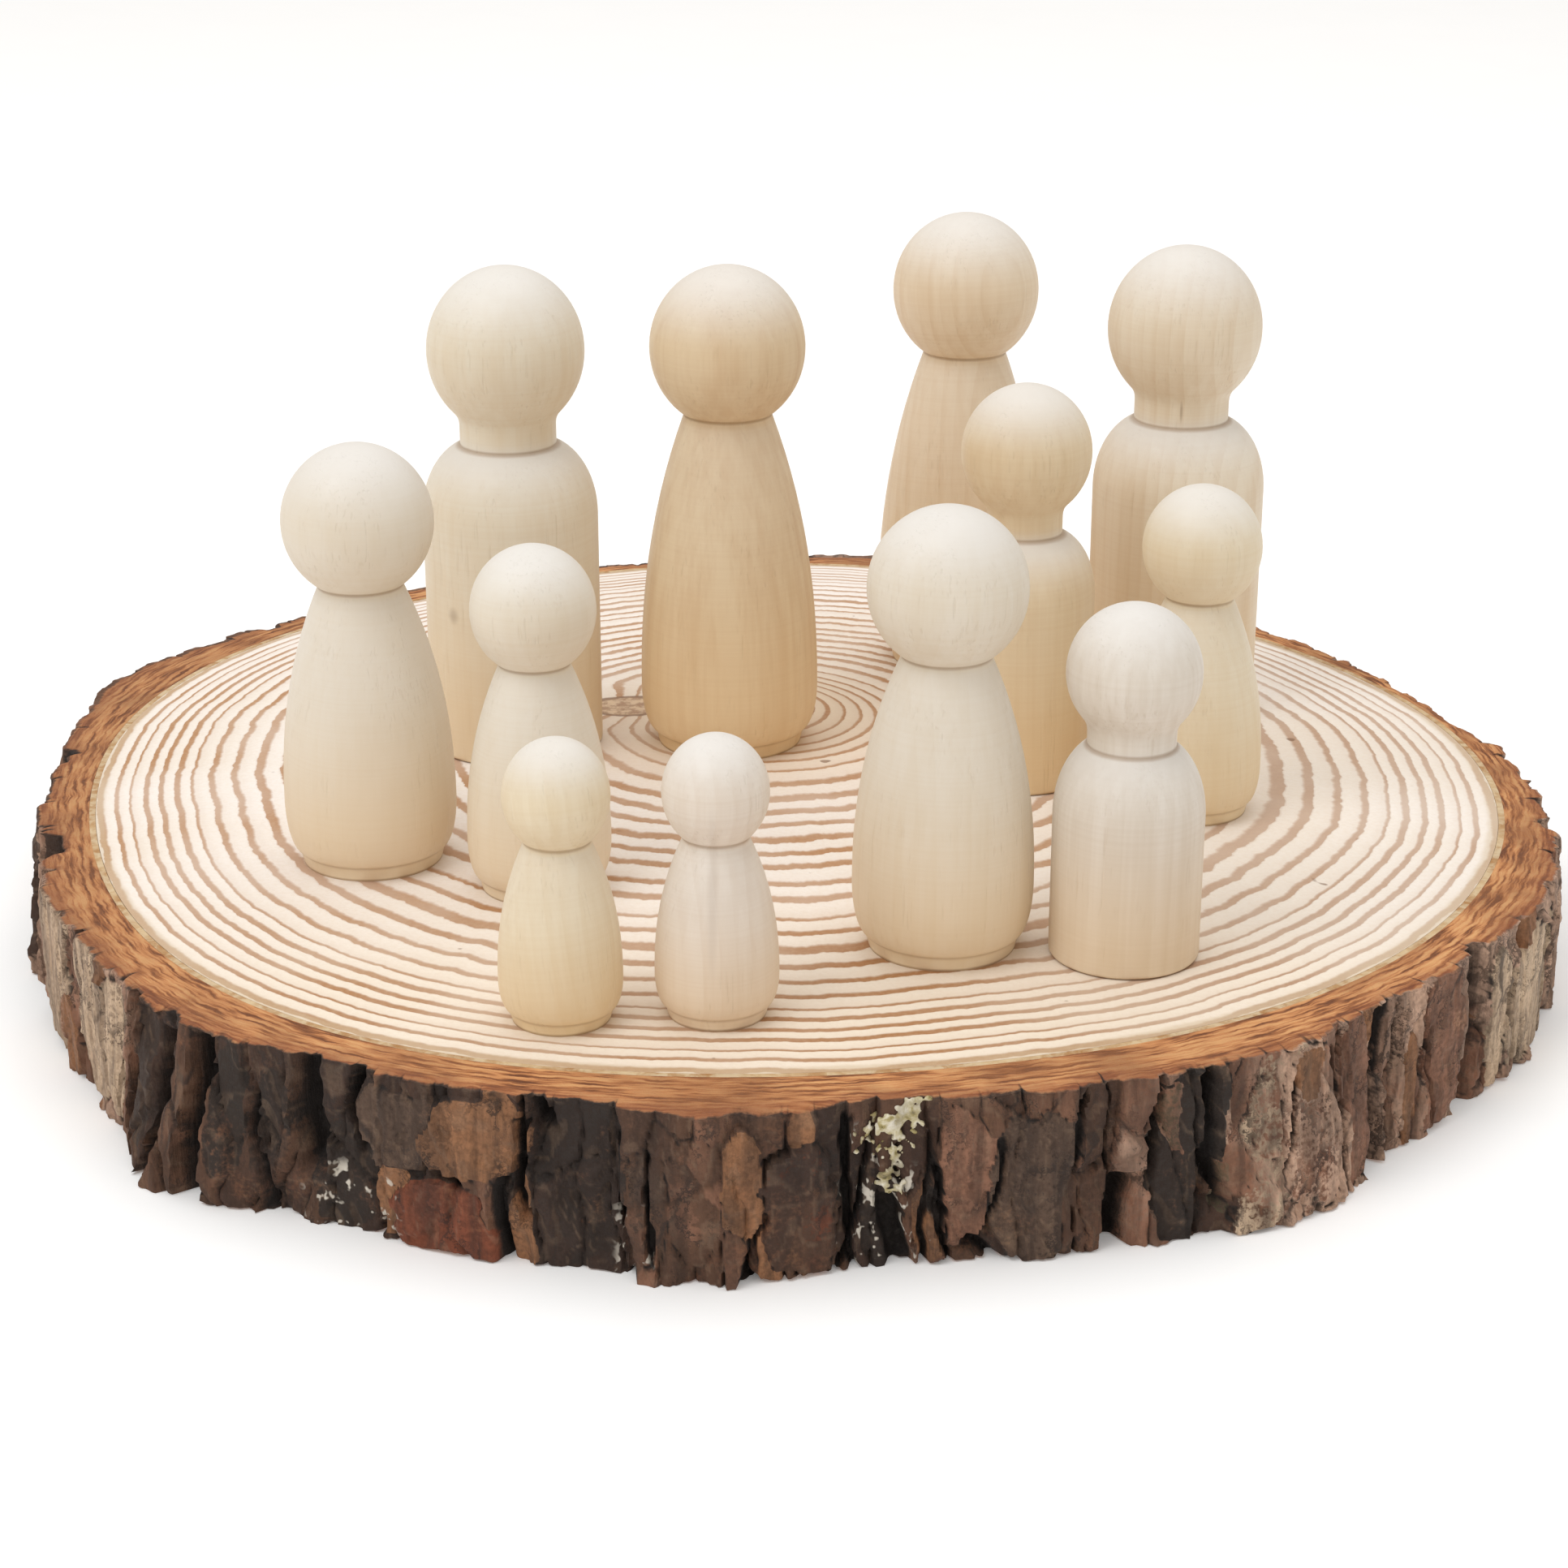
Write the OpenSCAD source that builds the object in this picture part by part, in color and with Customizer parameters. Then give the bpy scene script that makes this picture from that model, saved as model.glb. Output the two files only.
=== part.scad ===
// Set of turned wooden pegs standing on a slice of pine with its bark on.
// Millimetres, +Z up. Origin: centre of the slice's outline, on its underside.

/* [Slice] */
// Thickness of the slice
slice_t = 20; // [12:1:40]
// Mean radius of the bare wood, inside the bark
wood_r = 92.7; // [70:0.1:120]
// Thickness of the thin, pale inner bark round the wood
inner_bark_t = 0.8; // [0.5:0.1:2]
// Mean thickness of the outer bark
outer_bark_t = 5.6; // [4.6:0.1:12]
// Number of plates that the outer bark is split into
bark_plates = 46; // [20:1:70]
// Depth of the fissures between the plates
fissure_d = 1.2; // [0:0.1:1.4]

/* [Tall flared pegs] */
// Overall height
tall_flared_h = 65.5; // [50:0.5:90]
// Radius of the round knob
tall_flared_knob_r = 10.3; // [8:0.1:13]
// Height of the knob, were it a whole oval
tall_flared_knob_h = 21.6; // [17:0.1:25]
// Radius at the groove under the knob
tall_flared_groove_r = 5.9; // [4:0.1:7]
// Radius of the body at its widest
tall_flared_body_r = 12; // [10:0.1:15]
// Height of the widest place
tall_flared_belly_z = 8; // [5:0.1:12]
// Radius of the turned foot
tall_flared_foot_r = 10.1; // [8.4:0.1:12]
// Height of the turned foot
tall_flared_foot_h = 2; // [1:0.1:3]

/* [Tall straight pegs] */
// Overall height
tall_straight_h = 65.5; // [50:0.5:90]
// Radius of the round knob
tall_straight_knob_r = 10.4; // [8.5:0.1:13]
// Height of the knob, were it a whole oval
tall_straight_knob_h = 22.2; // [18:0.1:26]
// Radius of the neck
tall_straight_neck_r = 6.4; // [5:0.1:8]
// Length of the neck in front, between shoulder and knob
tall_straight_neck_l = 3.8; // [2:0.1:8]
// Radius of the straight body
tall_straight_body_r = 11.7; // [9.5:0.1:14.5]
// How far the rounded shoulder reaches in from the side
tall_straight_shoulder_w = 7; // [5.4:0.1:9]
// Height of the rounded shoulder
tall_straight_shoulder_h = 10; // [6:0.1:13]

/* [Medium flared pegs] */
// Overall height
medium_flared_h = 53; // [42:0.5:70]
// Radius of the round knob
medium_flared_knob_r = 9.2; // [7:0.1:11]
// Height of the knob, were it a whole oval
medium_flared_knob_h = 19; // [15:0.1:22]
// Radius at the groove under the knob
medium_flared_groove_r = 5.2; // [4:0.1:6.5]
// Radius of the body at its widest
medium_flared_body_r = 10.6; // [9:0.1:13]
// Height of the widest place
medium_flared_belly_z = 8; // [5:0.1:11]
// Radius of the turned foot
medium_flared_foot_r = 9; // [7.5:0.1:10.8]
// Height of the turned foot
medium_flared_foot_h = 1.85; // [1:0.05:3]

/* [Medium straight peg] */
// Overall height
medium_straight_h = 53; // [42:0.5:70]
// Radius of the round knob
medium_straight_knob_r = 8.45; // [6.8:0.05:10.5]
// Height of the knob, were it a whole oval
medium_straight_knob_h = 17.7; // [14:0.1:20]
// Radius of the neck
medium_straight_neck_r = 4.9; // [4:0.1:6.2]
// Length of the neck in front, between shoulder and knob
medium_straight_neck_l = 3.5; // [2:0.1:7]
// Radius of the straight body
medium_straight_body_r = 9.4; // [7.7:0.1:11.5]
// How far the rounded shoulder reaches in from the side
medium_straight_shoulder_w = 5.7; // [4.6:0.1:7.5]
// Height of the rounded shoulder
medium_straight_shoulder_h = 8.5; // [5:0.1:11]

/* [Small flared pegs] */
// Overall height
small_flared_h = 43.2; // [34:0.1:58]
// Radius of the round knob
small_flared_knob_r = 7.55; // [6:0.05:9.2]
// Height of the knob, were it a whole oval
small_flared_knob_h = 15.9; // [12.5:0.1:18]
// Radius at the groove under the knob
small_flared_groove_r = 4.3; // [3.4:0.1:5.4]
// Radius of the body at its widest
small_flared_body_r = 8.75; // [7.2:0.05:10.8]
// Height of the widest place
small_flared_belly_z = 6.3; // [4:0.1:9]
// Radius of the turned foot
small_flared_foot_r = 7.5; // [6:0.1:9]
// Height of the turned foot
small_flared_foot_h = 1.7; // [1:0.1:2.5]

/* [Small straight peg] */
// Overall height
small_straight_h = 42.4; // [34:0.1:58]
// Radius of the round knob
small_straight_knob_r = 7.75; // [6.3:0.05:9.5]
// Height of the knob, were it a whole oval
small_straight_knob_h = 16; // [13:0.1:18.5]
// Radius of the neck
small_straight_neck_r = 5.1; // [4.1:0.1:6.2]
// Length of the neck in front, between shoulder and knob
small_straight_neck_l = 2.6; // [1:0.1:5]
// Radius of the straight body
small_straight_body_r = 8.75; // [7.2:0.05:10.8]
// How far the rounded shoulder reaches in from the side
small_straight_shoulder_w = 6.1; // [4.6:0.1:7]
// Height of the rounded shoulder
small_straight_shoulder_h = 9.2; // [5:0.1:11]

/* [Mini flared pegs] */
// Overall height
mini_flared_h = 32.9; // [26:0.1:44]
// Radius of the round knob
mini_flared_knob_r = 5.95; // [4.9:0.05:7.4]
// Height of the knob, were it a whole oval
mini_flared_knob_h = 13.1; // [10.5:0.1:15.5]
// Radius at the groove under the knob
mini_flared_groove_r = 3.7; // [3.1:0.1:4.6]
// Radius of the body at its widest
mini_flared_body_r = 6.95; // [5.7:0.05:8.5]
// Height of the widest place
mini_flared_belly_z = 5; // [3:0.1:7]
// Radius of the turned foot
mini_flared_foot_r = 5.9; // [4.9:0.1:7]
// Height of the turned foot
mini_flared_foot_h = 1.5; // [0.8:0.1:2]

/* [Peg details] */
// Rounding at the base of a straight peg
straight_base_round = 0.6; // [0.2:0.1:1.5]
// Size of the hollow where a straight peg's knob runs into its neck
knob_cove = 1.2; // [0.2:0.1:1.5]
// Height of the flat bottom of the groove under a flared peg's knob
groove_flat = 0.25; // [0.1:0.05:1]
// How much a flared peg's foot narrows towards its bottom
foot_taper = 0.4; // [0:0.1:0.8]
// How full a flared side is: 1 is a plain cone, and more is rounder
flare_power = 2.2; // [1:0.1:3]
// Gap between the small straight peg and the medium flared peg beside it
close_pair_gap = 1.9; // [0.5:0.1:6]
// Direction from that medium flared peg to the small straight one
close_pair_turn = -7; // [-180:1:180]

/* [Hidden] */

$fn = 96;
outline_steps = 360; // points round the slice
curve_steps = 14;    // points along each curved stretch of a peg's side
knob_steps = 28;     // points along a peg's knob
base_steps = 4;      // points round a straight peg's base edge
cove_steps = 4;      // points along the hollow under a straight peg's knob

// Waves that make the slice less than round: [waves in a turn, height, direction of a crest]
wood_waves = [[1, 1.5, 122], [2, 0.8, -52], [3, 1.3, -6], [4, 0.7, -27], [5, 0.7, 14]];
bark_waves = [[1, 1.2, -172], [2, 1.2, -57], [3, 0.9, -20], [4, 1.4, -24], [5, 0.8, 0]];
// Places where the bark stands out or is worn away: [direction, half width in degrees, height]
bark_bulges = [
    [158, 7, 4], [127, 5, 3], [-131, 6, 2.6], [-95, 5, 2.4], [-56, 5, 2.2],
    [-83, 4, -3], [-47, 4, -1.5], [15, 6, -0.5]
];
// Waves that make the bark's plates wide and narrow, in degrees of shift
plate_waves = [[2, 7, 20], [5, 3, 75], [9, 1.6, 10]];

function total(list) = list * [for (v = list) 1];
function waves(list, a) = total([for (w = list) w[1] * cos(w[0] * (a - w[2]))]);
function turn_between(a, b) = (a - b + 900) % 360 - 180;
function bulges(list, a) = total([for (b = list) b[2] * exp(-pow(turn_between(a, b[0]) / b[1], 2))]);
function at_radius(r, a) = [r * cos(a), r * sin(a)];

// 1 on a plate and 0 at the bottom of a fissure
function plate(a) = pow(abs(sin((a + waves(plate_waves, a)) * bark_plates / 2)), 0.35);

function wood_edge(a) = wood_r + waves(wood_waves, a);
function outer_edge(a) =
    wood_r + inner_bark_t + outer_bark_t + waves(bark_waves, a) + bulges(bark_bulges, a)
    - fissure_d * (1 - plate(a));

turns = [for (i = [0:outline_steps - 1]) 360 * i / outline_steps];
outer_points = [for (a = turns) at_radius(outer_edge(a), a)];
outer_x = [for (p = outer_points) p[0]];
outer_y = [for (p = outer_points) p[1]];
outline_centre = [max(outer_x) + min(outer_x), max(outer_y) + min(outer_y)] / 2;

// Where each peg stands, in radii of the wood from the slice's centre
tall_flared_1_at = [-0.088, 0.160] * wood_r;
tall_flared_2_at = [0.271, 0.542] * wood_r;
tall_straight_1_at = [-0.403, 0.155] * wood_r;
tall_straight_2_at = [0.578, 0.296] * wood_r;
medium_flared_1_at = [-0.562, -0.304] * wood_r;
medium_flared_2_at = [0.192, -0.593] * wood_r;
medium_straight_at = [0.330, 0.014] * wood_r;
small_flared_1_at = [-0.329, -0.404] * wood_r;
small_flared_2_at = [0.562, -0.124] * wood_r;
mini_flared_1_at = [-0.275, -0.814] * wood_r;
mini_flared_2_at = [-0.088, -0.800] * wood_r;
small_straight_at = medium_flared_2_at
    + at_radius(medium_flared_body_r + close_pair_gap + small_straight_body_r, close_pair_turn);

peg_colour = [0.90, 0.83, 0.69];
wood_colour = [0.93, 0.84, 0.68];
inner_bark_colour = [0.80, 0.62, 0.42];
outer_bark_colour = [0.42, 0.33, 0.27];

// Direction, seen from the knob's centre, in which it meets a neck or groove of radius r
function knob_start(knob_r, r) = -acos(r / knob_r);
function knob_points(h, knob_r, knob_h, r) = [for (i = [0:knob_steps])
    let (start = knob_start(knob_r, r), a = start + (90 - start) * i / knob_steps)
    [i == knob_steps ? 0 : knob_r * cos(a), h - knob_h / 2 + knob_h / 2 * sin(a)]];
// Level at which a neck or groove of radius r meets the knob
function under_knob(h, knob_r, knob_h, r) = h - knob_h / 2 + knob_h / 2 * sin(knob_start(knob_r, r));

module stand(place) {
    translate([place[0], place[1], slice_t]) children();
}

module slab(edge_points) {
    translate(-outline_centre) linear_extrude(slice_t) polygon(edge_points);
}

module slice_wood() {
    color(wood_colour) slab([for (a = turns) at_radius(wood_edge(a), a)]);
}

module slice_inner_bark() {
    color(inner_bark_colour) difference() {
        slab([for (a = turns) at_radius(wood_edge(a) + inner_bark_t, a)]);
        slab([for (a = turns) at_radius(wood_edge(a), a)]);
    }
}

module slice_outer_bark() {
    color(outer_bark_colour) difference() {
        slab(outer_points);
        slab([for (a = turns) at_radius(wood_edge(a) + inner_bark_t, a)]);
    }
}

// One peg whose side swells from the groove down to a low belly, on a small turned foot
module flared_peg(h, knob_r, knob_h, groove_r, body_r, belly_z, foot_r, foot_h) {
    side_top = under_knob(h, knob_r, knob_h, groove_r) - groove_flat;
    belly = [for (i = [0:curve_steps]) let (a = 90 * i / curve_steps)
        [foot_r + (body_r - foot_r) * sin(a), belly_z - (belly_z - foot_h) * cos(a)]];
    flare = [for (i = [1:curve_steps]) let (v = i / curve_steps)
        [body_r - (body_r - groove_r) * pow(v, flare_power), belly_z + (side_top - belly_z) * v]];
    foot = [[0, 0], [foot_r - foot_taper, 0]];
    color(peg_colour)
        rotate_extrude() polygon(concat(foot, belly, flare, knob_points(h, knob_r, knob_h, groove_r)));
}

// One peg with a plain round body, a rounded shoulder and a short neck
module straight_peg(h, knob_r, knob_h, neck_r, neck_l, body_r, shoulder_w, shoulder_h) {
    shoulder_end = acos((neck_r - body_r + shoulder_w) / shoulder_w);
    shoulder_z = under_knob(h, knob_r, knob_h, neck_r) - neck_l - shoulder_h * sin(shoulder_end);
    shoulder = [for (i = [0:curve_steps]) let (a = shoulder_end * i / curve_steps)
        [body_r - shoulder_w + shoulder_w * cos(a), shoulder_z + shoulder_h * sin(a)]];
    base = [for (i = [0:base_steps]) let (a = 90 * i / base_steps)
        [body_r - straight_base_round * (1 - sin(a)), straight_base_round * (1 - cos(a))]];
    cove_h = min(knob_cove, neck_l * 0.8);
    knob = knob_points(h, knob_r, knob_h, neck_r + cove_h * 0.7);
    cove_top = knob[0];
    cove_mid = [neck_r, under_knob(h, knob_r, knob_h, neck_r)];
    cove_low = cove_mid - [0, cove_h];
    cove = [for (i = [0:cove_steps - 1]) let (v = i / cove_steps)
        pow(1 - v, 2) * cove_low + 2 * v * (1 - v) * cove_mid + v * v * cove_top];
    color(peg_colour)
        rotate_extrude() polygon(concat([[0, 0]], base, shoulder, cove, knob));
}

module tall_flared() {
    flared_peg(tall_flared_h, tall_flared_knob_r, tall_flared_knob_h, tall_flared_groove_r,
        tall_flared_body_r, tall_flared_belly_z, tall_flared_foot_r, tall_flared_foot_h);
}

module tall_straight() {
    straight_peg(tall_straight_h, tall_straight_knob_r, tall_straight_knob_h, tall_straight_neck_r,
        tall_straight_neck_l, tall_straight_body_r, tall_straight_shoulder_w, tall_straight_shoulder_h);
}

module medium_flared() {
    flared_peg(medium_flared_h, medium_flared_knob_r, medium_flared_knob_h, medium_flared_groove_r,
        medium_flared_body_r, medium_flared_belly_z, medium_flared_foot_r, medium_flared_foot_h);
}

module medium_straight() {
    straight_peg(medium_straight_h, medium_straight_knob_r, medium_straight_knob_h, medium_straight_neck_r,
        medium_straight_neck_l, medium_straight_body_r, medium_straight_shoulder_w, medium_straight_shoulder_h);
}

module small_flared() {
    flared_peg(small_flared_h, small_flared_knob_r, small_flared_knob_h, small_flared_groove_r,
        small_flared_body_r, small_flared_belly_z, small_flared_foot_r, small_flared_foot_h);
}

module small_straight() {
    straight_peg(small_straight_h, small_straight_knob_r, small_straight_knob_h, small_straight_neck_r,
        small_straight_neck_l, small_straight_body_r, small_straight_shoulder_w, small_straight_shoulder_h);
}

module mini_flared() {
    flared_peg(mini_flared_h, mini_flared_knob_r, mini_flared_knob_h, mini_flared_groove_r,
        mini_flared_body_r, mini_flared_belly_z, mini_flared_foot_r, mini_flared_foot_h);
}

module tall_flared_peg_1() { stand(tall_flared_1_at) tall_flared(); }
module tall_flared_peg_2() { stand(tall_flared_2_at) tall_flared(); }
module tall_straight_peg_1() { stand(tall_straight_1_at) tall_straight(); }
module tall_straight_peg_2() { stand(tall_straight_2_at) tall_straight(); }
module medium_flared_peg_1() { stand(medium_flared_1_at) medium_flared(); }
module medium_flared_peg_2() { stand(medium_flared_2_at) medium_flared(); }
module medium_straight_peg() { stand(medium_straight_at) medium_straight(); }
module small_flared_peg_1() { stand(small_flared_1_at) small_flared(); }
module small_flared_peg_2() { stand(small_flared_2_at) small_flared(); }
module small_straight_peg() { stand(small_straight_at) small_straight(); }
module mini_flared_peg_1() { stand(mini_flared_1_at) mini_flared(); }
module mini_flared_peg_2() { stand(mini_flared_2_at) mini_flared(); }

slice_wood();
slice_inner_bark();
slice_outer_bark();
tall_flared_peg_1();
tall_flared_peg_2();
tall_straight_peg_1();
tall_straight_peg_2();
medium_flared_peg_1();
medium_flared_peg_2();
medium_straight_peg();
small_flared_peg_1();
small_flared_peg_2();
small_straight_peg();
mini_flared_peg_1();
mini_flared_peg_2();
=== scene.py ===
"""Twelve turned wooden pegs on a bark-edged slice of pine: the looks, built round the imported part."""

import math

import bmesh
import bpy
import numpy as np
from bpy.props import FloatProperty, FloatVectorProperty, IntProperty, PointerProperty
from mathutils import Matrix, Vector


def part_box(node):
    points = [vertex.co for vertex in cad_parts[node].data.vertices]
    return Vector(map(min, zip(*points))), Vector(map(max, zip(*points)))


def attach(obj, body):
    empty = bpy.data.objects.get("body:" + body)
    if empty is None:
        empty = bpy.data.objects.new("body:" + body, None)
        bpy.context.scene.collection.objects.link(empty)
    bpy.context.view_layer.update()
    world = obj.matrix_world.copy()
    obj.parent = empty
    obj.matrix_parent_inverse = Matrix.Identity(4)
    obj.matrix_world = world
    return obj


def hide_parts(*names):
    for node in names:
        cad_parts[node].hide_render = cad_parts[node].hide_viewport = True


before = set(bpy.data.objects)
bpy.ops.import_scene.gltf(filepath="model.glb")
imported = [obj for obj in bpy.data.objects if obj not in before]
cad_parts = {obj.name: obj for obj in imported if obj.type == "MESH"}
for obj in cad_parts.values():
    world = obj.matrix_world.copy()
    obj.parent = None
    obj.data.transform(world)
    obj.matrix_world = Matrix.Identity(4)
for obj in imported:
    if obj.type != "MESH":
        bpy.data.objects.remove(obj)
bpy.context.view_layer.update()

bl_info = {
    "name": "Wooden peg set on a bark-edged slice",
    "version": (1, 0, 0),
    "blender": (4, 5, 0),
    "location": "View3D > Sidebar > Peg set",
    "description": "Builds the turned pegs, the sawn slice with its bark and a plain studio stage",
    "category": "Object",
}

MM = 0.001
TURN = 2 * math.pi
SLICE_BODY = "slice"
MEAN_RADIUS = 98.0  # of the slice with its bark, in mm
RIM_STEPS = 720  # directions in which the slice's edge is read
BARK_STEPS = 1980  # steps round the bark
BARK_ROWS = 36  # rows up the bark
BODY_PART = 0.6  # the share of a peg's height that is surely below its neck
FLAKE_KINDS = ("tan", "pale", "pink", "grey", "brick", "moss", "dark")

# Each peg's own stick of wood: pale and grain colours, the direction in degrees and distance in mm of the
# stick's heart, its lean in degrees, and how strongly rings and streaks show
PEG_STICKS = {
    "tall_flared_peg_1": ("E4D1B1", "CBA980", 75, 70, 0.6, 0.3, 0.5),
    "tall_flared_peg_2": ("EBDCC4", "CCAA7E", -62, 19, 5, 0.36, 0.25),
    "tall_straight_peg_1": ("E6DECC", "D3BB96", 40, 60, 0.8, 0.12, 0.3),
    "tall_straight_peg_2": ("E9DECA", "CDB08A", 178, 30, 0.8, 0.4, 0.3),
    "medium_flared_peg_1": ("E4DCCE", "D6C4A6", 150, 60, 1, 0.1, 0.2),
    "medium_flared_peg_2": ("E4DCCE", "D2C0A2", -160, 55, 1, 0.2, 0.3),
    "medium_straight_peg": ("E6D6B8", "CCAA7C", 20, 60, 1, 0.25, 0.3),
    "small_flared_peg_1": ("E8E1D3", "D4C09E", -20, 50, 1, 0.12, 0.2),
    "small_flared_peg_2": ("EADFC7", "D4BA8C", 60, 50, 1, 0.2, 0.25),
    "small_straight_peg": ("E4DDD3", "C4B49E", -170, 44, 0.6, 0.16, 0.4),
    "mini_flared_peg_1": ("E9DDC4", "D2B88C", -40, 9, 9, 0.25, 0.3),
    "mini_flared_peg_2": ("E9E0D5", "C6AE94", 2, 20, 0.4, 0.24, 0.25),
}

# small marks on three of the pegs: direction, height above the slice in mm, half width, half height, strength
PEG_MARKS = {
    "tall_straight_peg_1": (-128, 20.6, 1.0, 1.3, 0.32),
    "tall_straight_peg_2": (-97, 44.3, 0.25, 1.7, 0.5),
    "mini_flared_peg_2": (-93, 17, 0.7, 10, 0.15),
}

# Deep fissures in the bark: direction in degrees, width and depth in mm, lean in degrees, and the heights
# in mm between which it is open
FISSURES = [
    (-165.5, 8, 4.2, 2, -1, 21), (-160.4, 1.4, 3, 2, -1, 21), (-148.4, 0.7, 2.2, 3, 4, 21),
    (-139.5, 1.2, 2.6, 1, -1, 15), (-136.6, 1.5, 3.2, -2, -1, 20.5), (-133.4, 2.0, 3.8, 3, -1, 18),
    (-129.4, 2.9, 4.6, 3, -1, 20), (-125, 0.9, 2.6, -4, -1, 15), (-121.3, 3.2, 4.0, -3, 6, 20.5),
    (-118.3, 1.2, 3.0, 4, 9, 20.5), (-104.6, 2.2, 3.6, -10, 15.5, 20.5), (-106.6, 0.9, 3, 1, 5, 20.5),
    (-98.6, 0.6, 1.6, -2, 1, 16), (-86.2, 0.8, 2.2, -1, -1, 19), (-83.6, 2.6, 3, -3, -1, 9),
    (-80.6, 0.7, 2, -5, -1, 14), (-76.9, 0.5, 1.2, 4, 3, 16), (-71.6, 0.5, 1.4, 2, -1, 20),
    (-68.1, 3.0, 4.4, 9, -1, 9), (-66.8, 1.2, 3, 9, 8, 20.5), (-62.6, 1.6, 3.4, 0, 3, 20.5),
    (-57.2, 0.5, 1.4, 8, 5, 17), (-52.4, 0.9, 2.4, -2, -1, 18), (-47.6, 3.4, 4.6, 1, -1, 20),
    (-45.2, 1.2, 3, 2, -1, 18), (-41.5, 0.6, 1.8, -3, -1, 14), (-35.5, 4.4, 4.8, 4, -1, 20.5),
    (-30, 1.2, 2.6, -2, -1, 15), (-22, 1.0, 2.4, 2, -1, 20), (-10, 4.5, 3, 2, 8, 21),
    (13, 2.2, 2.2, 0, 10, 21), (31, 1.6, 3, -2, -1, 21), (52, 2.4, 3.4, 3, -1, 20),
    (77, 1.4, 2.6, 1, -1, 21), (96, 2.2, 3, -3, 3, 20.5), (118, 1.5, 3.2, 2, -1, 18),
    (141, 2.6, 3.4, -1, -1, 21), (165, 1.8, 3, 2, -1, 20),
]

# Single flakes of bark: colour channel, direction and half width in degrees, middle and half height in
# mm, how far the flake stands out in mm, and how strongly it is coloured
FLAKES = [
    ("dark", -165.5, 3.6, 10, 12, -1.2, 0.95), ("dark", -175, 6.5, 10, 14, 0, 0.95),
    ("pale", -154, 4.6, 11, 11, 0.8, 1.0), ("tan", -150.5, 1.6, 5, 5, 0.7, 0.6),
    ("pale", -145, 3, 11, 9, 0.6, 0.95), ("pale", -140.4, 2.2, 11, 8, 0.4, 0.7),
    ("dark", -135, 1.2, 12, 9, 0, 0.6), ("dark", -127.2, 1.3, 12, 8, 0, 0.7),
    ("grey", -115.2, 2.6, 14, 5.4, 0.8, 0.9), ("tan", -110.2, 3.4, 14.2, 4.6, 1.1, 0.8),
    ("tan", -115.4, 1.3, 5, 4.6, 0.6, 1.0), ("brick", -112.2, 3.6, 3.4, 5.2, 1.2, 1.0),
    ("grey", -98.8, 1.5, 8, 7, 0.2, 0.4), ("pink", -95.6, 1.8, 9, 8, 0.2, 0.4),
    ("tan", -92.9, 1.2, 11.5, 6, 0.8, 0.95), ("tan", -91.4, 0.8, 2.8, 4, 0.5, 0.8),
    ("brick", -89.6, 2.2, 8, 7, 0.4, 0.45), ("pink", -78.8, 1.8, 10, 8, 0.6, 0.8),
    ("grey", -74.6, 2.6, 9, 9, 0.8, 0.8), ("dark", -65, 2.2, 10, 11, -0.8, 0.92),
    ("moss", -64.6, 1.8, 15, 4, 0.2, 0.8), ("dark", -119.2, 2.4, 7, 6, -0.2, 0.8),
    ("dark", -124, 1.6, 8, 9, 0, 0.5), ("dark", -102.5, 2.2, 10, 10, 0, 0.5),
    ("dark", -84.2, 1.4, 6, 6, -0.6, 0.85), ("moss", -62, 0.8, 11, 9, 0.3, 0.9),
    ("dark", -63.2, 1.9, 15, 7, 0, 0.75), ("pink", -59, 3.0, 10, 11, 0.3, 0.45),
    ("pale", -57, 3.2, 11.5, 9, 0, 0.5), ("pale", -59.6, 1.8, 2.8, 3.0, 0.7, 0.55),
    ("pale", -58.6, 1.1, 12.5, 4.8, 0.6, 0.5), ("pink", -55, 2.3, 9, 9, 0.5, 0.45),
    ("tan", -55, 1.2, 15.8, 3.0, 0.5, 0.75), ("pink", -50, 1.6, 10, 10, 0.4, 0.8),
    ("tan", -43.6, 0.7, 7, 7, 0.5, 0.7), ("pink", -40, 2.2, 10, 10, 0.5, 0.7),
    ("pale", -32, 1.6, 9, 9, 0.5, 0.9), ("pale", -25, 5, 8, 9, 0.5, 0.95),
    ("pale", 22, 4, 10, 8, 0.5, 0.4), ("brick", 45, 3, 12, 5, 0.5, 0.7), ("tan", 68, 3, 6, 5, 0.6, 0.8),
    ("pale", 88, 3, 12, 7, 0.5, 0.35), ("tan", 109, 3, 14, 4, 0.6, 0.8),
    ("brick", 132, 3, 6, 5, 0.6, 0.6), ("pale", 152, 4, 9, 8, 0.5, 0.45),
    ("tan", 172, 2.5, 5, 4, 0.6, 0.8),
]

# Whitish specks on the bark: direction and half width in degrees, and highest point in mm
SPECK_PATCHES = [(-118.5, 3.6, 9), (-99.5, 1.5, 9), (-84, 3, 12), (-85.4, 1.1, 18), (40, 5, 9)]

# Where a root swelling starts at the foot of the bark: direction, half width in degrees, swelling in mm
ROOT_SWELLINGS = [(-133, 7, 3.4), (-58, 8, 3.2), (-170, 7, 1.5), (70, 10, 2.5), (120, 9, 2)]

# The patch of lichen: direction in degrees and height in mm of each clump
LICHEN_TRAIL = [(-81.9, 19.3), (-82.6, 18.4), (-83.3, 17.6), (-82.4, 17.0), (-83.2, 16.0), (-83.0, 14.6)]
LICHEN_TRAIL += [(-83.5, 13.2), (-83.3, 11.6), (-83.9, 10.4), (-83.6, 9.2), (-84.1, 17.8), (-84.0, 9.8)]
LICHEN_TRAIL += [(-84.6, 17.2), (-85.2, 16.0), (-84.8, 14.8), (-82.6, 17.8), (-83.6, 16.6), (-82.2, 18.9)]


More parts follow.
